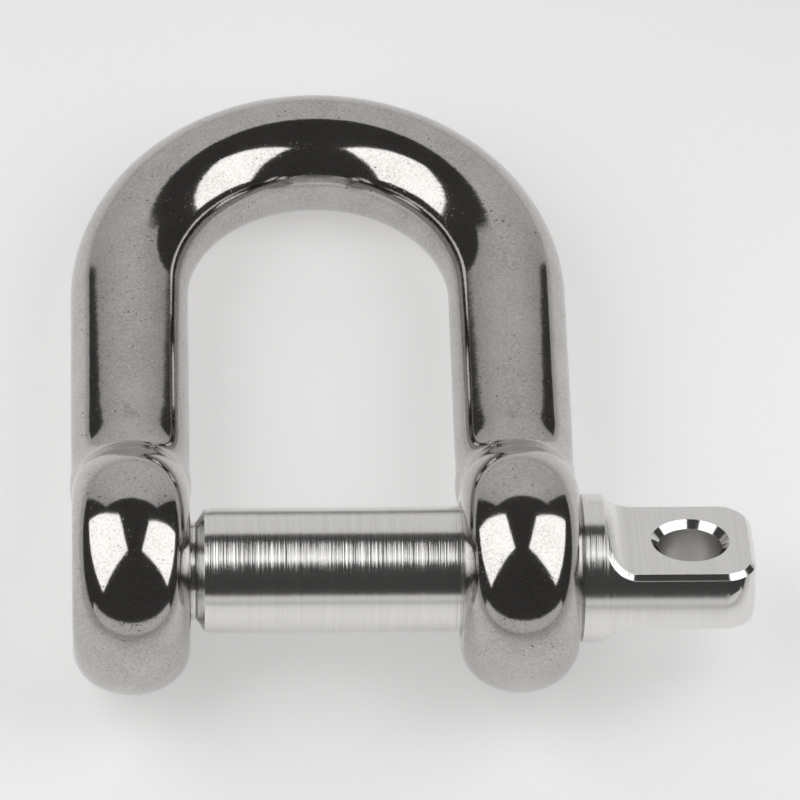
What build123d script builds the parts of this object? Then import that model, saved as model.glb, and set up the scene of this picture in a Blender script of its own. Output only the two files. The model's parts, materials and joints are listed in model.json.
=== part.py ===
"""Screw-pin dee shackle, 8 mm size, lying flat on its side.

Frame: origin on the pin's axis, midway between the eyes. +X along the pin towards its tab,
+Y from the pin towards the crown of the bow, +Z square to the plane of the dee.
"""
from build123d import *
from math import cos, radians, sin
import os

os.makedirs("parts", exist_ok=True)

# ---- Driving dimensions, in millimetres ----

# The bow: a round bar bent to a dee.
bar_diameter = 7.7          # round bar, after polishing
bow_radius = 12.4           # centre line of the crown, and half the distance between the legs
leg_length = 22.0           # from the pin's axis to the point where the crown begins

# The eyes: rounded pads upset on both ends of the bar.
eye_diameter = 15.9
eye_thickness = 7.5
eye_rim_depth = 2.95        # how far the elliptical rim reaches in from the eye's edge
eye_blend_radius = 1.5      # concave blend between the leg and the eye
leg_taper_start = 11.0      # from the pin's axis: here the bar begins to narrow into the eye
leg_end_inset = 0.25        # the bar ends inside the eye, this far below the eye's flat faces
hole_chamfer = 0.4          # edge of both pin holes

# The pin: the plain shank, and the thread that screws into the left eye.
shank_diameter = 8.0
thread_diameter = 8.0
thread_allowance = 0.08     # on diameter: the thread's crest lies below its nominal size
thread_chamfer = 0.8
relief_diameter = 6.25      # groove between the thread and the shank
relief_width = 0.2          # flat bottom of that groove
relief_fillet = 0.19        # rounds both corners of its bottom
shank_end_gap = 0.9         # from the tapped eye's inner face to the shank's full diameter
shank_end_chamfer = 0.5     # length of the cone that runs down to the groove
shank_end_land = 0.45       # short reduced land beside that cone
shank_end_step = 0.05       # how far that land lies below the shank
thread_end_recess = 0.15    # the threaded end stops this far inside the eye's outer face

# The head: a collar, then a flat tab milled from the same round.
head_diameter = 9.5
collar_thickness = 1.75
collar_chamfer = 0.18
tab_length = 9.4            # from the collar to the tab's end
tab_thickness = 4.15
tab_shoulder_radius = 1.85  # cutter radius where the flat meets the collar
tab_corner_radius = 2.1
tab_edge_chamfer = 0.3
tab_hole_diameter = 4.06
tab_hole_chamfer = 0.47
tab_hole_edge = 4.05        # from the hole's centre to the tab's end
tab_clock_angle = 21.0      # how far the tab's flat is turned from the dee's plane

# Clearances.
shank_clearance = 0.06      # radial, shank in the plain eye
thread_clearance = 0.06     # radial, thread crest in the bore that stands for the tapped hole
collar_clearance = 0.03     # collar to the plain eye's face

# ---- Places worked out from the driving dimensions ----

eye_x = bow_radius
eye_inner_x = eye_x - eye_thickness / 2
eye_outer_x = eye_x + eye_thickness / 2
bar_radius = bar_diameter / 2
eye_radius = eye_diameter / 2
shank_radius = shank_diameter / 2
thread_radius = (thread_diameter - thread_allowance) / 2
relief_radius = relief_diameter / 2
head_radius = head_diameter / 2

collar_x = eye_outer_x + collar_clearance
shoulder_x = collar_x + collar_thickness
tab_end_x = shoulder_x + tab_length
corner_radius = min(tab_corner_radius, head_radius - tab_thickness / 2 - tab_edge_chamfer)
tab_hole_x = tab_end_x - tab_hole_edge

thread_end_x = -eye_outer_x + thread_end_recess
shank_start_x = -eye_inner_x + shank_end_gap
cone_start_x = shank_start_x - shank_end_chamfer
relief_start_x = cone_start_x - relief_width

# ---- Shackle body: one forging, the bow with its two eyes ----

with BuildPart() as shackle_body:
    # The round bar, from inside one eye over the crown to the other.
    with BuildLine() as bow_line:
        left_leg = Line((-bow_radius, leg_taper_start), (-bow_radius, leg_length))
        crown = RadiusArc(left_leg @ 1, (bow_radius, leg_length), bow_radius)
        right_leg = Line(crown @ 1, (bow_radius, leg_taper_start))
    with BuildSketch(Plane(origin=left_leg @ 0, z_dir=left_leg % 0)):
        Circle(bar_radius)
    sweep()

    # Each leg narrows slightly and ends inside its eye.
    for side in (-1, 1):
        with BuildSketch(Plane(origin=(side * bow_radius, leg_taper_start, 0), z_dir=(0, -1, 0))):
            Circle(bar_radius)
        with BuildSketch(Plane(origin=(side * bow_radius, 0, 0), z_dir=(0, -1, 0))):
            Circle(eye_thickness / 2 - leg_end_inset)
        loft()

    # The eyes: flat faces with an elliptical rim, turned about the pin's axis.
    for side in (-1, 1):
        with BuildSketch(Plane(origin=(side * eye_x, 0, 0))):
            with BuildLine():
                rim_start = eye_radius - eye_rim_depth
                rim = EllipticalCenterArc(
                    (0, -rim_start), eye_thickness / 2, eye_rim_depth, start_angle=180, arc_size=180
                )
                Polyline(rim @ 1, (eye_thickness / 2, 0), (-eye_thickness / 2, 0), rim @ 0)
            make_face()
        revolve(axis=Axis.X)

    # Concave blend where each leg grows out of its eye.
    neck_edges = [
        edge for edge in shackle_body.edges()
        if rim_start < edge.center().Y < leg_taper_start - 1 and edge.geom_type == GeomType.BSPLINE
    ]
    fillet(neck_edges, eye_blend_radius)

    # The pin's holes: the tapped one on the left, the plain one on the right.
    tapped_radius = thread_radius + thread_clearance
    plain_radius = shank_radius + shank_clearance
    for side, hole_radius in ((-1, tapped_radius), (1, plain_radius)):
        with BuildSketch(Plane(origin=(side * eye_x, 0, 0), z_dir=(1, 0, 0))):
            Circle(hole_radius)
        extrude(amount=eye_thickness, both=True, mode=Mode.SUBTRACT)
    hole_edges = [
        edge for edge in shackle_body.edges().filter_by(GeomType.CIRCLE)
        if abs(edge.arc_center.Y) < 0.001 and edge.radius <= max(tapped_radius, plain_radius)
    ]
    chamfer(hole_edges, hole_chamfer)
shackle_body.part.label = "shackle_body"
export_step(shackle_body.part, "parts/shackle_body.step")

# ---- Screw pin: one turned bar, its head milled to a flat tab ----

tab_normal = Vector(0, sin(radians(tab_clock_angle)), cos(radians(tab_clock_angle)))
tab_side = Plane(origin=(0, 0, 0), x_dir=(1, 0, 0), z_dir=Vector(1, 0, 0).cross(tab_normal))

with BuildPart() as screw_pin:
    # The turned shape, from the threaded end to the end of the tab.
    with BuildSketch(Plane.XY):
        with BuildLine():
            Polyline(
                (tab_end_x, head_radius - corner_radius),
                (tab_end_x, 0),
                (thread_end_x, 0),
                (thread_end_x, thread_radius - thread_chamfer),
                (thread_end_x + thread_chamfer, thread_radius),
                (relief_start_x - thread_radius + relief_radius, thread_radius),
                (relief_start_x, relief_radius),
                (cone_start_x, relief_radius),
                (shank_start_x, shank_radius - shank_end_step),
                (shank_start_x + shank_end_land, shank_radius - shank_end_step),
                (shank_start_x + shank_end_land, shank_radius),
                (collar_x, shank_radius),
                (collar_x, head_radius - collar_chamfer),
                (collar_x + collar_chamfer, head_radius),
                (tab_end_x - corner_radius, head_radius),
            )
            RadiusArc(
                (tab_end_x - corner_radius, head_radius),
                (tab_end_x, head_radius - corner_radius),
                corner_radius,
            )
        make_face()
    revolve(axis=Axis.X)

    groove_edges = screw_pin.edges().filter_by(
        lambda edge: edge.geom_type == GeomType.CIRCLE and abs(edge.radius - relief_radius) < 0.001
    )
    fillet(groove_edges, relief_fillet)

    # Both flats of the tab, milled up to a rounded shoulder at the collar.
    for face in (-1, 1):
        flat_z = face * tab_thickness / 2
        clear_z = face * head_diameter
        with BuildSketch(tab_side):
            with BuildLine():
                shoulder = Line((shoulder_x, clear_z), (shoulder_x, flat_z + face * tab_shoulder_radius))
                cutter = CenterArc(
                    (shoulder_x + tab_shoulder_radius, flat_z + face * tab_shoulder_radius),
                    tab_shoulder_radius, 180, face * 90,
                )
                Polyline(cutter @ 1, (tab_end_x + 1, flat_z), (tab_end_x + 1, clear_z), shoulder @ 0)
            make_face()
        extrude(amount=head_diameter, both=True, mode=Mode.SUBTRACT)

    # A small chamfer round the outline of both flats, and on up the rounded shoulders.
    flat_start_x = shoulder_x + tab_shoulder_radius
    outline = [
        edge for edge in screw_pin.edges()
        if (
            edge.center().X > flat_start_x + 0.01
            and abs(abs(edge.center().dot(tab_normal)) - tab_thickness / 2) < 0.001
        )
        or (
            shoulder_x + 0.01 < edge.center().X < flat_start_x - 0.01
            and edge.geom_type == GeomType.BSPLINE
        )
    ]
    chamfer(outline, tab_edge_chamfer)

    # The round hole through the tab, chamfered on both flats.
    with BuildSketch(Plane(origin=(tab_hole_x, 0, 0), x_dir=(1, 0, 0), z_dir=tab_normal)):
        Circle(tab_hole_diameter / 2)
    extrude(amount=tab_thickness, both=True, mode=Mode.SUBTRACT)
    hole_edges = screw_pin.edges().filter_by(
        lambda edge: edge.geom_type == GeomType.CIRCLE and abs(edge.radius - tab_hole_diameter / 2) < 0.001
    )
    chamfer(hole_edges, tab_hole_chamfer)
screw_pin.part.label = "screw_pin"
export_step(screw_pin.part, "parts/screw_pin.step")
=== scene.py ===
"""Dee shackle: the looks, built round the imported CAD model. Lengths are in metres."""
import json
from math import cos, pi, radians, sin, tan

import bmesh
import bpy
import numpy as np
from mathutils import Matrix, Vector


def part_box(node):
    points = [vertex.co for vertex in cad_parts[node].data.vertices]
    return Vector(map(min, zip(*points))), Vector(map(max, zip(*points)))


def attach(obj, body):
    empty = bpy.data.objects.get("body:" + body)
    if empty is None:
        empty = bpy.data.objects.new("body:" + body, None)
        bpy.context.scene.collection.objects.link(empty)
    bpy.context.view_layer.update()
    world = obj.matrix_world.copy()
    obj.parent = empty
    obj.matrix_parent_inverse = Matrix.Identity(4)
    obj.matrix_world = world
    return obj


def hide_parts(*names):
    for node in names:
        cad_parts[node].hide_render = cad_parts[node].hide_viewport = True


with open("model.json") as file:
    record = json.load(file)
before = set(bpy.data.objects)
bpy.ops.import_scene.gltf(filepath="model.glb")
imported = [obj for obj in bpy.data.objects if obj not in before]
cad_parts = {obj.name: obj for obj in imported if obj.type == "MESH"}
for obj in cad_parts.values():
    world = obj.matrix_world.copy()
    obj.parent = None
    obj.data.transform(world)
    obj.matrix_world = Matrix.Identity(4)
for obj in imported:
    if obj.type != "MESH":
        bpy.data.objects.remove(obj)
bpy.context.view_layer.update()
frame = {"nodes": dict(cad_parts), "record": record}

MM = 0.001

# ---- Sizes: read from the frame where it holds them, and named here where it doesn't ----

TAB_HOLE_CHAMFER = 0.47 * MM

mounts = {mount["name"]: mount for mount in frame["record"]["mounts"]}
body_low, body_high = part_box("shackle_body")
pin_low, pin_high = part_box("screw_pin")

bar_radius = mounts["bow_saddle"]["dims"]["r_mm"] * MM
shank_radius = mounts["pin_shank"]["dims"]["r_mm"] * MM
bow_radius = body_high.x - bar_radius
leg_length = body_high.y - body_high.x
eye_radius = -body_low.y
collar_x = body_high.x
head_radius = pin_high.z

# The milled tab: the middle of its hole, the hole's direction, and the direction across the tab.
tab_middle = Vector(mounts["tab_hole"]["pos_m"])
tab_normal = Vector(mounts["tab_hole"]["axis"])
tab_across = tab_normal.cross(Vector((1, 0, 0))).normalized()
tab_hole_radius = mounts["tab_hole"]["dims"]["r_mm"] * MM
tab_half = mounts["tab_hole"]["dims"]["length_mm"] * MM / 2 + TAB_HOLE_CHAMFER

# The forging: eyes with flat faces, and the blend that leads each leg into its eye.
EYE_THICKNESS = 7.5 * MM
EYE_RIM_DEPTH = 2.95 * MM
LEG_TAPER_START = 11.0 * MM
LEG_END_INSET = 0.30 * MM
EYE_BLEND = 2.4 * MM
BLEND_START = 4.9 * MM      # the blend grows with the distance from the hole's axis, from here
BLEND_WIDTH = 2.2 * MM      # and over this much
HOLE_CHAMFER = 0.40 * MM
HOLE_CLEARANCE = 0.06 * MM
SKIN_CELL = 0.25 * MM
SKIN_TOLERANCE = 0.001 * MM
MERGE = 0.001 * MM
FORGED_CREASE = 25          # degrees, past which an edge stays sharp
TURNED_CREASE = 22

eye_inner = bow_radius - EYE_THICKNESS / 2
plain_hole_radius = shank_radius + HOLE_CLEARANCE

# The M8 x 1.25 thread, on the pin and in the tapped eye.
PITCH = 1.25 * MM
THREAD_CREST = 3.96 * MM
THREAD_ROOT = 3.19 * MM
TAP_CREST = 4.02 * MM
TAP_ROOT = 3.34 * MM
THREAD_FOOT_RADIUS = 3.18 * MM      # where the thread's last flank runs out into the relief groove
THREAD_FOOT_PAST_EYE = 0.144 * MM   # and how far that lies past the tapped eye's inner face
OVERLAP = 0.02 * MM                 # how deep a solid reaches into the one that it is joined to or cut from
ROWS_PER_PITCH = 16
AROUND = 96
thread_start = pin_low.x
thread_end = -eye_inner + THREAD_FOOT_PAST_EYE


# ---- Nodes: a number socket that reads as arithmetic, and one way to add any other node ----

class Num:
    """A number socket in a node tree. Arithmetic on it adds Math nodes."""

    def __init__(self, tree, socket):
        self.tree = tree
        self.socket = socket

    def math(self, operation, *others, clamp=False):
        node = self.tree.nodes.new("ShaderNodeMath")
        node.operation = operation
        node.use_clamp = clamp
        for slot, value in enumerate((self, *others)):
            join(self.tree, value, node.inputs[slot])
        return Num(self.tree, node.outputs[0])

    def __add__(self, other):
        return self.math("ADD", other)

    __radd__ = __add__

    def __mul__(self, other):
        return self.math("MULTIPLY", other)

    __rmul__ = __mul__

    def __sub__(self, other):
        return self.math("SUBTRACT", other)

    def __rsub__(self, other):
        return (self * -1.0) + other

    def __truediv__(self, other):
        return self.math("DIVIDE", other)

    def __pow__(self, other):
        return self.math("POWER", other)

    def __abs__(self):
        return self.math("ABSOLUTE")

    def step(self, low, high):
        """0 below low and 1 above high, straight between."""
        return ((self - low) / (high - low)).math("ADD", 0.0, clamp=True)


def join(tree, value, target):
    """Links a socket or a Num to target, or sets a plain value on it."""
    if isinstance(value, Num):
        value = value.socket
    if isinstance(value, bpy.types.NodeSocket):
        tree.links.new(value, target)
    else:
        target.default_value = value


def add_node(tree, kind, settings=None, values=None):
    """A node of a type, its settings first, then its sockets' values or links."""
    node = tree.nodes.new(kind)
    for name, setting in (settings or {}).items():
        setattr(node, name, setting)
    for name, value in (values or {}).items():
        join(tree, value, node.inputs[name])
    return node


# ---- Mesh helpers ----

def link(name, mesh):
    obj = bpy.data.objects.new(name, mesh)
    bpy.context.scene.collection.objects.link(obj)
    return obj


def settle(obj):
    """The object's evaluated shape as its own plain mesh, with no modifiers left."""
    graph = bpy.context.evaluated_depsgraph_get()
    mesh = bpy.data.meshes.new_from_object(obj.evaluated_get(graph))
    obj.modifiers.clear()
    obj.data = mesh
    return obj


def merged_copy(name, node):
    """A copy of a CAD node's mesh with its loose triangles merged."""
    obj = link(name, frame["nodes"][node].data.copy())
    work = bmesh.new()
    work.from_mesh(obj.data)
    bmesh.ops.remove_doubles(work, verts=work.verts, dist=MERGE)
    work.to_mesh(obj.data)
    work.free()
    return obj


def face_outwards(mesh):
    work = bmesh.new()
    work.from_mesh(mesh)
    bmesh.ops.recalc_face_normals(work, faces=work.faces)
    work.to_mesh(mesh)
    work.free()


def lathe(name, profile, around=160):
    """A closed solid turned about the pin's axis from (x, radius) points, its ends on the axis."""
    work = bmesh.new()
    rings = []
    for x, radius in profile:
        if radius == 0:
            rings.append([work.verts.new((x, 0, 0))])
            continue
        turns = [2 * pi * step / around for step in range(around)]
        rings.append([work.verts.new((x, radius * cos(turn), radius * sin(turn))) for turn in turns])
    for first, second in zip(rings, rings[1:]):
        for step in range(around):
            after = (step + 1) % around
            corners = [first[step % len(first)], first[after % len(first)],
                       second[after % len(second)], second[step % len(second)]]
            work.faces.new(list(dict.fromkeys(corners)))
    bmesh.ops.recalc_face_normals(work, faces=work.faces)
    mesh = bpy.data.meshes.new(name)
    work.to_mesh(mesh)
    work.free()
    return link(name, mesh)


def combine(obj, tool, operation):
    """Cuts tool out of obj, or joins it on, and removes tool."""
    modifier = obj.modifiers.new("combine", "BOOLEAN")
    modifier.operation = operation
    modifier.solver = "EXACT"
    modifier.object = tool
    settle(obj)
    bpy.data.objects.remove(tool)


def crease(mesh, angle):
    """Smooth shading that breaks at every edge sharper than angle, in degrees."""
    mesh.shade_smooth()
    mesh.set_sharp_from_angle(angle=radians(angle))


def vertex_places(mesh):
    points = np.empty(len(mesh.vertices) * 3)
    mesh.vertices.foreach_get("co", points)
    return points.reshape(-1, 3)


def corner_normals(mesh):
    normals = np.empty(len(mesh.loops) * 3, np.float32)
    mesh.corner_normals.foreach_get("vector", normals)
    return normals.reshape(-1, 3)


def corners_of(polygon):
    return slice(polygon.loop_start, polygon.loop_start + polygon.loop_total)


# ---- The thread: one Geometry Nodes tree for the pin's thread and for the tap ----

def thread_tree(material):
    """A helical 60 degree thread about X: a grid rolled round the axis, each turn one pitch on."""
    tree = bpy.data.node_groups.new("thread", "GeometryNodeTree")
    tree.interface.new_socket("Geometry", in_out="OUTPUT", socket_type="NodeSocketGeometry")
    for name in ("Start", "Length", "Pitch", "Crest Radius", "Root Radius", "End Radius"):
        tree.interface.new_socket(name, in_out="INPUT", socket_type="NodeSocketFloat")
    sizes = add_node(tree, "NodeGroupInput")
    start, length, pitch, crest, root, end_radius = [Num(tree, socket) for socket in sizes.outputs[:6]]

    # Rows run along the axis, with one spare pitch so that every column spans the length.
    rows = (length / pitch + 1.0).math("CEIL") * ROWS_PER_PITCH + 1.0
    grid = add_node(tree, "GeometryNodeMeshGrid", values={
        "Size X": 1.0, "Size Y": rows - 1.0, "Vertices X": AROUND + 1, "Vertices Y": rows})
    place = add_node(tree, "GeometryNodeInputPosition")
    split = add_node(tree, "ShaderNodeSeparateXYZ", values={"Vector": place.outputs[0]})
    turn = Num(tree, split.outputs["X"]) + 0.5
    row = Num(tree, split.outputs["Y"]) + (rows - 1.0) * 0.5

    # Across a pitch: crest flat 1/8, straight flanks 5/16 each, root flat 1/4.
    from_crest = abs((row / ROWS_PER_PITCH + 0.5).math("FRACT") - 0.5)
    height = 1.0 - from_crest.step(1 / 16, 6 / 16)
    free_x = start + (row / ROWS_PER_PITCH + turn - 1.0) * pitch
    x = free_x.math("MAXIMUM", start).math("MINIMUM", start + length)
    to_end = (x - start).math("MINIMUM", start + length - x)
    radius = (root + (crest - root) * height).math("MINIMUM", end_radius + to_end)

    # The first and last rows close the ends on the axis.
    inside = row.math("GREATER_THAN", 0.5) * row.math("LESS_THAN", rows - 1.5)
    radius = radius * inside
    angle = turn * (2 * pi)
    wrapped = add_node(tree, "ShaderNodeCombineXYZ", values={
        "X": x, "Y": radius * angle.math("COSINE"), "Z": radius * angle.math("SINE")})
    moved = add_node(tree, "GeometryNodeSetPosition", values={
        "Geometry": grid.outputs["Mesh"], "Position": wrapped.outputs[0]})
    merged = add_node(tree, "GeometryNodeMergeByDistance", values={
        "Geometry": moved.outputs[0], "Distance": 2 * MERGE})
    real = add_node(tree, "GeometryNodeRealizeInstances", values={"Geometry": merged.outputs[0]})
    dressed = add_node(tree, "GeometryNodeSetMaterial", values={
        "Geometry": real.outputs[0], "Material": material})
    add_node(tree, "NodeGroupOutput", values={"Geometry": dressed.outputs[0]})
    return tree


def make_thread(name, tree, sizes):
    obj = link(name, bpy.data.meshes.new(name))
    modifier = obj.modifiers.new("thread", "NODES")
    modifier.node_group = tree
    for item in tree.interface.items_tree:
        if item.in_out == "INPUT":
            modifier[item.identifier] = float(sizes[item.name])
    settle(obj)
    face_outwards(obj.data)
    return obj


# ---- The forging's skin: one smooth rule, and a mesh laid exactly on it ----

def smooth_step(share):
    share = np.clip(share, 0.0, 1.0)
    return share * share * (3.0 - 2.0 * share)


def skin_height(points):
    """How far each point lies above the forging's skin, holes left out."""
    x, y, z = points[:, 0], points[:, 1], points[:, 2]
    across = np.abs(x) - bow_radius
    narrowing = LEG_END_INSET * smooth_step((LEG_TAPER_START - y) / LEG_TAPER_START)
    leg = np.sqrt(across**2 + z**2 + np.minimum(y, 0.0) ** 2) - (bar_radius - narrowing)
    crown = np.hypot(np.hypot(x, y - leg_length) - bow_radius, z) - bar_radius
    bar = np.where(y > leg_length, crown, leg)

    from_axis = np.hypot(y, z)
    half = EYE_THICKNESS / 2
    past_flat = np.maximum(from_axis - (eye_radius - EYE_RIM_DEPTH), 0.0)
    reach = np.sqrt((across / half) ** 2 + (past_flat / EYE_RIM_DEPTH) ** 2)
    slope = np.sqrt((across / half**2) ** 2 + (past_flat / EYE_RIM_DEPTH**2) ** 2)
    eye = reach * (reach - 1.0) / np.maximum(slope, 1e-6)

    # The two run into each other, but the flat round the hole stays flat.
    soft = EYE_BLEND * smooth_step((from_axis - BLEND_START) / BLEND_WIDTH) + 1e-7
    near = np.maximum(soft - np.abs(bar - eye), 0.0) / soft
    return np.minimum(bar, eye) - near**3 * soft / 6.0


def skin_slope(points):
    """The skin's outward direction at each point."""
    reach = 2 * SKIN_TOLERANCE
    slope = np.empty_like(points)
    for axis in range(3):
        nudge = np.zeros(3)
        nudge[axis] = reach
        slope[:, axis] = (skin_height(points + nudge) - skin_height(points - nudge)) / (2 * reach)
    return slope


def lay_on_skin(mesh):
    """Moves every point of the mesh straight onto the skin."""
    points = vertex_places(mesh)
    for _ in range(8):
        slope = skin_slope(points)
        steep = np.maximum((slope**2).sum(1), 0.05)
        points -= slope * (skin_height(points) / steep)[:, None]
    mesh.vertices.foreach_set("co", points.ravel())


def bore_eye(body, side, radius, inner):
    """Bores one eye to inner, with a chamfer at both faces that starts HOLE_CHAMFER outside radius."""
    past = 1.0 * MM
    low = side * bow_radius - EYE_THICKNESS / 2
    high = side * bow_radius + EYE_THICKNESS / 2
    mouth = radius + HOLE_CHAMFER
    deep = mouth - inner
    profile = [(low - past, 0), (low - past, mouth), (low, mouth), (low + deep, inner)]
    profile += [(high - deep, inner), (high, mouth), (high + past, mouth), (high + past, 0)]
    combine(body, lathe("hole", profile), "DIFFERENCE")


def shade_by_skin(mesh):
    """The skin's own direction gives flawless reflections; the holes shade by their edges."""
    crease(mesh, FORGED_CREASE)
    normals = corner_normals(mesh)
    points = vertex_places(mesh)
    on_skin = np.abs(skin_height(points)) < SKIN_TOLERANCE
    slope = skin_slope(points)
    slope /= np.linalg.norm(slope, axis=1)[:, None]
    for polygon in mesh.polygons:
        vertices = list(polygon.vertices)
        towards = slope[vertices]
        if on_skin[vertices].all() and (towards @ np.array(polygon.normal)).min() > 0.8:
            normals[corners_of(polygon)] = towards
    mesh.normals_split_custom_set(normals)


def make_body(tap):
    """The forging: one even skin laid over the CAD model, then a tapped eye and a plain one."""
    body = merged_copy("forged_bow", "shackle_body")

    # Plugs close both holes, so that the skin can be laid over the whole forging.
    plug_radius = plain_hole_radius + 2 * HOLE_CHAMFER
    for side in (-1, 1):
        low = side * bow_radius - EYE_THICKNESS / 2
        high = side * bow_radius + EYE_THICKNESS / 2
        combine(body, lathe("plug", [(low, 0), (low, plug_radius), (high, plug_radius), (high, 0)]), "UNION")
    remesh = body.modifiers.new("skin", "REMESH")
    remesh.mode = "VOXEL"
    remesh.voxel_size = SKIN_CELL
    relax = body.modifiers.new("relax", "SMOOTH")
    relax.iterations = 12
    settle(body)
    lay_on_skin(body.data)

    bore_eye(body, -1, TAP_CREST, TAP_ROOT - OVERLAP)
    bore_eye(body, 1, plain_hole_radius, plain_hole_radius)
    combine(body, tap, "DIFFERENCE")
    shade_by_skin(body.data)
    return body


# ---- The pin ----

def true_flats(mesh, direction):
    """Gives every flat square to direction exactly that normal, so that it mirrors as one plane."""
    normals = corner_normals(mesh)
    for polygon in mesh.polygons:
        facing = polygon.normal.dot(direction)
        if abs(facing) > 0.9999:
            normals[corners_of(polygon)] = direction * np.sign(facing)
    mesh.normals_split_custom_set(normals)


def forget_normals(mesh):
    """Drops the normals that came with the CAD mesh, which no longer suit its faces."""
    if "custom_normal" in mesh.attributes:
        mesh.attributes.remove(mesh.attributes["custom_normal"])


def make_pin(thread):
    """The turned pin from the CAD model, with a cut thread in place of its plain threaded end."""
    pin = merged_copy("turned_pin", "screw_pin")
    work = bmesh.new()
    work.from_mesh(pin.data)

    # All that lies past the groove's flank goes, and the open rim is closed.
    margin = 0.01 * MM
    plain = [vertex for vertex in work.verts if vertex.co.x < thread_end - margin]
    bmesh.ops.delete(work, geom=plain, context="VERTS")
    rim = [edge for edge in work.edges if edge.is_boundary]
    bmesh.ops.holes_fill(work, edges=rim, sides=0)
    bmesh.ops.recalc_face_normals(work, faces=work.faces)
    work.to_mesh(pin.data)
    work.free()
    forget_normals(pin.data)
    combine(pin, thread, "UNION")
    forget_normals(pin.data)
    crease(pin.data, TURNED_CREASE)
    weigh = pin.modifiers.new("weigh", "WEIGHTED_NORMAL")
    weigh.mode = "FACE_AREA_WITH_ANGLE"
    weigh.keep_sharp = True
    settle(pin)
    true_flats(pin.data, tab_normal)
    return pin


# ---- Finishes ----

class Finish:
    """One material, built up from its shader."""

    def __init__(self, name):
        self.material = bpy.data.materials.new(name)
        self.material.use_nodes = True
        self.tree = self.material.node_tree
        self.shader = self.tree.nodes["Principled BSDF"]
        self.shader.inputs["Metallic"].default_value = 1.0
        self.place = self.node("ShaderNodeTexCoord").outputs["Object"]

    def node(self, kind, settings=None, **values):
        sockets = {name.replace("_", " "): value for name, value in values.items()}
        return add_node(self.tree, kind, settings, sockets)

    def axis(self, name):
        split = self.node("ShaderNodeSeparateXYZ", Vector=self.place)
        return Num(self.tree, split.outputs[name])

    def noise(self, size, detail=2.0, stretch=(1, 1, 1), rough=0.5):
        """Even noise whose features are about size across, drawn out along each axis by stretch."""
        scaled = self.node("ShaderNodeMapping", Vector=self.place)
        scaled.inputs["Scale"].default_value = [1 / (size * pull) for pull in stretch]
        texture = self.node(
            "ShaderNodeTexNoise", Vector=scaled.outputs[0], Scale=1.0, Detail=detail, Roughness=rough)
        return Num(self.tree, texture.outputs["Fac"])

    def blend(self, share, first, second):
        mix = self.node("ShaderNodeMix", {"data_type": "RGBA"})
        join(self.tree, share, mix.inputs["Factor"])
        join(self.tree, first, mix.inputs[6])
        join(self.tree, second, mix.inputs[7])
        return mix.outputs[2]

    def bump(self, height, depth, below=None):
        """A bump of the given depth, laid over the bump below, if there is one."""
        node = self.node("ShaderNodeBump", Height=height, Distance=depth, Strength=1.0)
        if below is not None:
            self.tree.links.new(below, node.inputs["Normal"])
        return node.outputs[0]

    def set(self, name, value):
        join(self.tree, value, self.shader.inputs[name])


def forged_finish():
    """Barrel-polished forged stainless steel: a warm near-mirror, faintly mottled, with a few fine pits."""
    steel = Finish("forged_stainless")
    clouds = steel.noise(2.2 * MM, detail=4)
    grain = steel.noise(0.17 * MM, detail=3, rough=0.65)
    scattered = steel.noise(2.8 * MM, detail=1).step(0.38, 0.60)
    pits = (1.0 - steel.noise(0.22 * MM, detail=1).step(0.26, 0.31)) * scattered
    tone = steel.blend(clouds.step(0.35, 0.65), (0.405, 0.390, 0.375, 1), (0.480, 0.465, 0.447, 1))
    speckled = steel.blend(grain.step(0.38, 0.66) * 0.8, tone, (0.585, 0.57, 0.555, 1))
    steel.set("Base Color", steel.blend(pits * 0.85, speckled, (0.12, 0.11, 0.105, 1)))
    steel.set("Roughness", 0.05 + grain * 0.05 + clouds * 0.02 + pits * 0.25)
    waves = steel.noise(1.3 * MM, detail=2)
    waved = steel.bump(waves, 0.006 * MM)
    grained = steel.bump(grain, 0.0015 * MM, waved)
    steel.set("Normal", steel.bump(1.0 - pits, 0.0015 * MM, grained))
    return steel.material


def turned_finish():
    """Bright turned stainless steel: fine tool marks run round the pin and straight over the flats."""
    steel = Finish("turned_stainless")
    marks = steel.noise(0.022 * MM, detail=0, stretch=(1, 2000, 2000))
    rings = steel.noise(0.11 * MM, detail=2, stretch=(1, 200, 200), rough=0.6)
    lines = steel.noise(0.20 * MM, detail=3, stretch=(1, 60, 60), rough=0.7)
    clouds = steel.noise(1.5 * MM, detail=3)

    # Tool marks lie on the turned rounds and the milled flats; the chamfers and the hole are cut cleanly.
    x, y, z = steel.axis("X"), steel.axis("Y"), steel.axis("Z")
    from_axis = (y * y + z * z) ** 0.5
    height = abs(y * tab_normal.y + z * tab_normal.z)
    shank = x.math("LESS_THAN", collar_x)
    rounds = from_axis.step(head_radius - 0.020 * MM, head_radius - 0.008 * MM)
    flats = height.step(tab_half - 0.010 * MM, tab_half - 0.002 * MM)
    marked = shank.math("MAXIMUM", rounds).math("MAXIMUM", flats)

    # The bore of the tab's hole is duller, and its colour is darkened as painted shade inside the hole.
    across = x * tab_across.x + y * tab_across.y + z * tab_across.z - tab_middle.dot(tab_across)
    along = x - tab_middle.x
    from_bore = (across * across + along * along) ** 0.5
    outside = from_bore.step(tab_hole_radius + 0.010 * MM, tab_hole_radius + 0.030 * MM)
    inside = (1.0 - outside) * x.math("GREATER_THAN", collar_x)
    tone = steel.blend(lines.step(0.3, 0.7), (0.74, 0.735, 0.715, 1), (0.80, 0.795, 0.775, 1))
    # The dark grey in the bore is painted shade, not the steel's own colour; only the added roughness is the
    # bore's own.
    steel.set("Base Color", steel.blend(inside, tone, (0.42, 0.41, 0.395, 1)))
    steel.set("Roughness", 0.06 + marked * 0.065 + lines * 0.05 + clouds * 0.04 + inside * 0.22)
    ringed = steel.bump(rings * marked, 0.0036 * MM)
    steel.set("Normal", steel.bump(marks * marked, 0.0095 * MM, ringed))
    return steel.material


# ---- The two pieces, made ----

forged_steel = forged_finish()
turned_steel = turned_finish()

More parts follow.
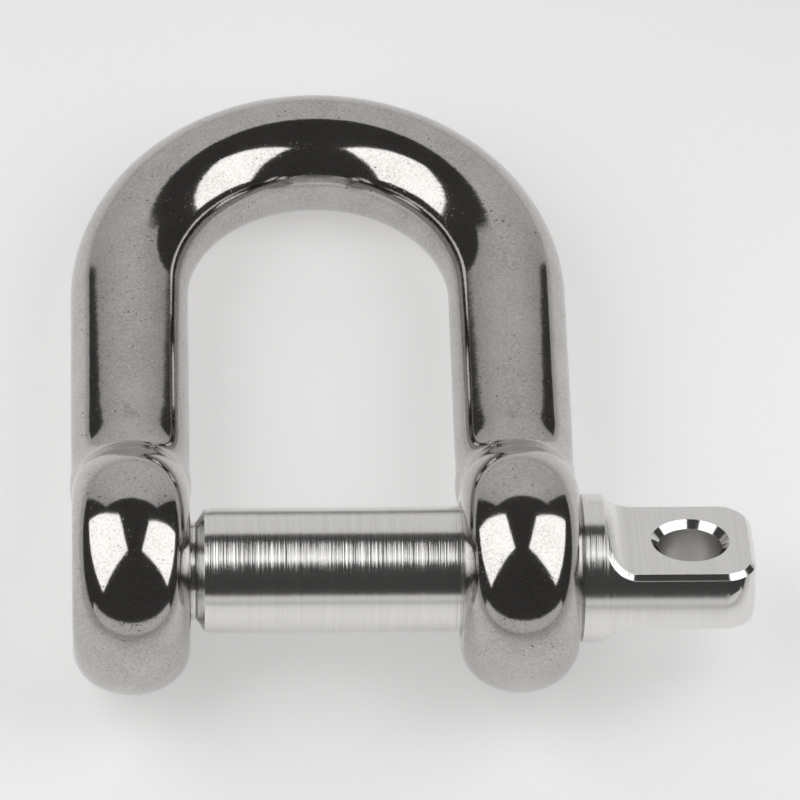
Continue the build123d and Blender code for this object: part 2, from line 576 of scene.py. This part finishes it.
helix = thread_tree(turned_steel)
foot_radius = THREAD_FOOT_RADIUS - 1.25 * OVERLAP
pin_thread = make_thread("pin_thread", helix, {
    "Start": thread_start, "Length": thread_end - thread_start + OVERLAP, "Pitch": PITCH,
    "Crest Radius": THREAD_CREST, "Root Radius": THREAD_ROOT, "End Radius": foot_radius})
past_eye = 3 * PITCH
tap = make_thread("tap", helix, {
    "Start": thread_start - past_eye, "Length": EYE_THICKNESS + 2 * past_eye, "Pitch": PITCH,
    "Crest Radius": TAP_CREST, "Root Radius": TAP_ROOT, "End Radius": TAP_ROOT})

body = make_body(tap)
pin = make_pin(pin_thread)
for piece, steel in ((body, forged_steel), (pin, turned_steel)):
    piece.data.materials.clear()
    piece.data.materials.append(steel)


# ---- Camera ----

CAMERA_ELEVATION = 54.0
CAMERA_AZIMUTH = -2.82
CAMERA_ROLL = -2.64
CAMERA_DISTANCE = 0.463
CAMERA_LENS = 326.1
CAMERA_AIM = Vector((5.15 * MM, 13.60 * MM, 0.0))


def add_camera():
    """The camera looks down on the dee from its open end, tab to the right."""
    elevation = radians(CAMERA_ELEVATION)
    azimuth = radians(CAMERA_AZIMUTH)
    away = Vector((sin(azimuth) * cos(elevation), -cos(azimuth) * cos(elevation), sin(elevation)))
    data = bpy.data.cameras.new("camera")
    data.sensor_width = 36.0
    data.lens = CAMERA_LENS
    data.clip_start = 0.01
    camera = bpy.data.objects.new("camera", data)
    bpy.context.scene.collection.objects.link(camera)
    place = away * CAMERA_DISTANCE
    turn = (CAMERA_AIM - place).to_track_quat("-Z", "Y").to_matrix().to_4x4()
    roll = Matrix.Rotation(-radians(CAMERA_ROLL), 4, "Z")
    camera.matrix_world = Matrix.Translation(place) @ turn @ roll
    bpy.context.scene.camera = camera


add_camera()


# ---- Stage: the floor, the paper and card that the steel mirrors, two softboxes and the room ----

FLOOR_GAP = 0.4 * MM
STAGE_SIDE = 1.6
STAGE_FRONT = 0.9
STAGE_BACK = 0.35
SWEEP_AZIMUTH = 49       # how far the sweep reaches to each side, in degrees seen from the dee
SWEEP_ELEVATION = 55     # and how high
CARD_ELEVATION = 5.0
FLOOR_COLOUR = 0.80
FLOOR_GLOW = 0.35
SWEEP_GLOW = 0.68
SWEEP_FADE = 0.30        # the share of its glow that the sweep loses at its sides
CARD_GLOW = 0.68
SOFTBOX_GLOW = 1.9
DARK_ROOM = 0.05
PALE_ROOM = 0.85

# The dee lies on its eyes and its crown, which is thinner, so the floor slopes a little under it.
floor_tilt = np.arctan2(eye_radius - bar_radius, body_high.y - bar_radius)
floor_z = -eye_radius / cos(floor_tilt) - FLOOR_GAP


def on_floor(x, y):
    return (x, y, floor_z + y * tan(floor_tilt))


def paper(name, colour, glow, fade=None):
    """Pale paper, lit evenly by its own lamps, or less and less towards fade on both sides of the middle."""
    material = bpy.data.materials.new(name)
    material.use_nodes = True
    tree = material.node_tree
    shader = tree.nodes["Principled BSDF"]
    shader.inputs["Base Color"].default_value = (colour, colour, colour, 1)
    shader.inputs["Roughness"].default_value = 1.0
    shader.inputs["Specular IOR Level"].default_value = 0.0
    shader.inputs["Emission Color"].default_value = (1, 1, 1, 1)
    shader.inputs["Emission Strength"].default_value = glow
    if fade is not None:
        place = add_node(tree, "ShaderNodeTexCoord").outputs["Object"]
        split = add_node(tree, "ShaderNodeSeparateXYZ", values={"Vector": place})
        light = 1.0 - (Num(tree, split.outputs["X"]) / fade) ** 2.0 * SWEEP_FADE
        grey = add_node(tree, "ShaderNodeCombineColor", values={"Red": light, "Green": light, "Blue": light})
        join(tree, grey.outputs[0], shader.inputs["Emission Color"])
    return material


def sheet(name, corners, material):
    """A flat four-cornered sheet."""
    mesh = bpy.data.meshes.new(name)
    mesh.from_pydata([tuple(corner) for corner in corners], [], [(0, 1, 2, 3)])
    mesh.materials.append(material)
    flat = link(name, mesh)
    return flat


def upright(name, half, y, elevation, material):
    """A sheet standing on the floor at y, up to the elevation seen from the dee. Only the steel shows it."""
    low = on_floor(0, y)[2]
    high = abs(y) * tan(radians(elevation))
    standing = sheet(name, [(-half, y, low), (half, y, low), (half, y, high), (-half, y, high)], material)
    standing.visible_camera = False


def softbox(name, corners):
    """A white softbox close beside the dee, leaning in over it. Only the steel shows it."""
    lamp = sheet(name, [Vector(corner) * MM for corner in corners], paper(name, 0.0, SOFTBOX_GLOW))
    lamp.visible_camera = False


def add_stage():
    corners = [on_floor(-STAGE_SIDE, -STAGE_FRONT), on_floor(STAGE_SIDE, -STAGE_FRONT)]
    corners += [on_floor(STAGE_SIDE, STAGE_BACK), on_floor(-STAGE_SIDE, STAGE_BACK)]
    sheet("floor", corners, paper("floor_paper", FLOOR_COLOUR, FLOOR_GLOW))
    half = STAGE_BACK * tan(radians(SWEEP_AZIMUTH))
    upright("sweep", half, STAGE_BACK, SWEEP_ELEVATION, paper("sweep_paper", 0.0, SWEEP_GLOW, half))
    upright("card", STAGE_SIDE, -STAGE_FRONT, CARD_ELEVATION, paper("card_paper", 0.0, CARD_GLOW))

    # Each softbox: its low edge from back to front, then its high edge from front to back, in millimetres.
    softbox("softbox_left", ((-77, 28, 27), (-77, -60, 37), (-29, -52, 170), (-58, 50, 155)))
    softbox("softbox_right", ((77, 25, 27), (77, -47, 32), (37, -52, 170), (72, 43, 175)))


def add_room():
    """The unlit room: dark where the steel mirrors it, pale where the camera looks past the floor."""
    world = bpy.data.worlds.new("studio")
    bpy.context.scene.world = world
    world.use_nodes = True
    tree = world.node_tree
    dark = tree.nodes["Background"]
    dark.inputs["Color"].default_value = (DARK_ROOM, DARK_ROOM, DARK_ROOM, 1)
    pale = add_node(tree, "ShaderNodeBackground", values={"Color": (PALE_ROOM, PALE_ROOM, PALE_ROOM, 1)})
    path = add_node(tree, "ShaderNodeLightPath")
    mix = add_node(tree, "ShaderNodeMixShader")
    for value, target in zip((path.outputs["Is Camera Ray"], dark.outputs[0], pale.outputs[0]), mix.inputs):
        join(tree, value, target)
    join(tree, mix.outputs[0], tree.nodes["World Output"].inputs["Surface"])


add_stage()
add_room()
bpy.context.scene.view_settings.view_transform = "Standard"

# ---- What stands for what, and what it rides on ----

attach(body, "bow")
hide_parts("shackle_body")
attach(pin, "pin")
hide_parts("screw_pin")
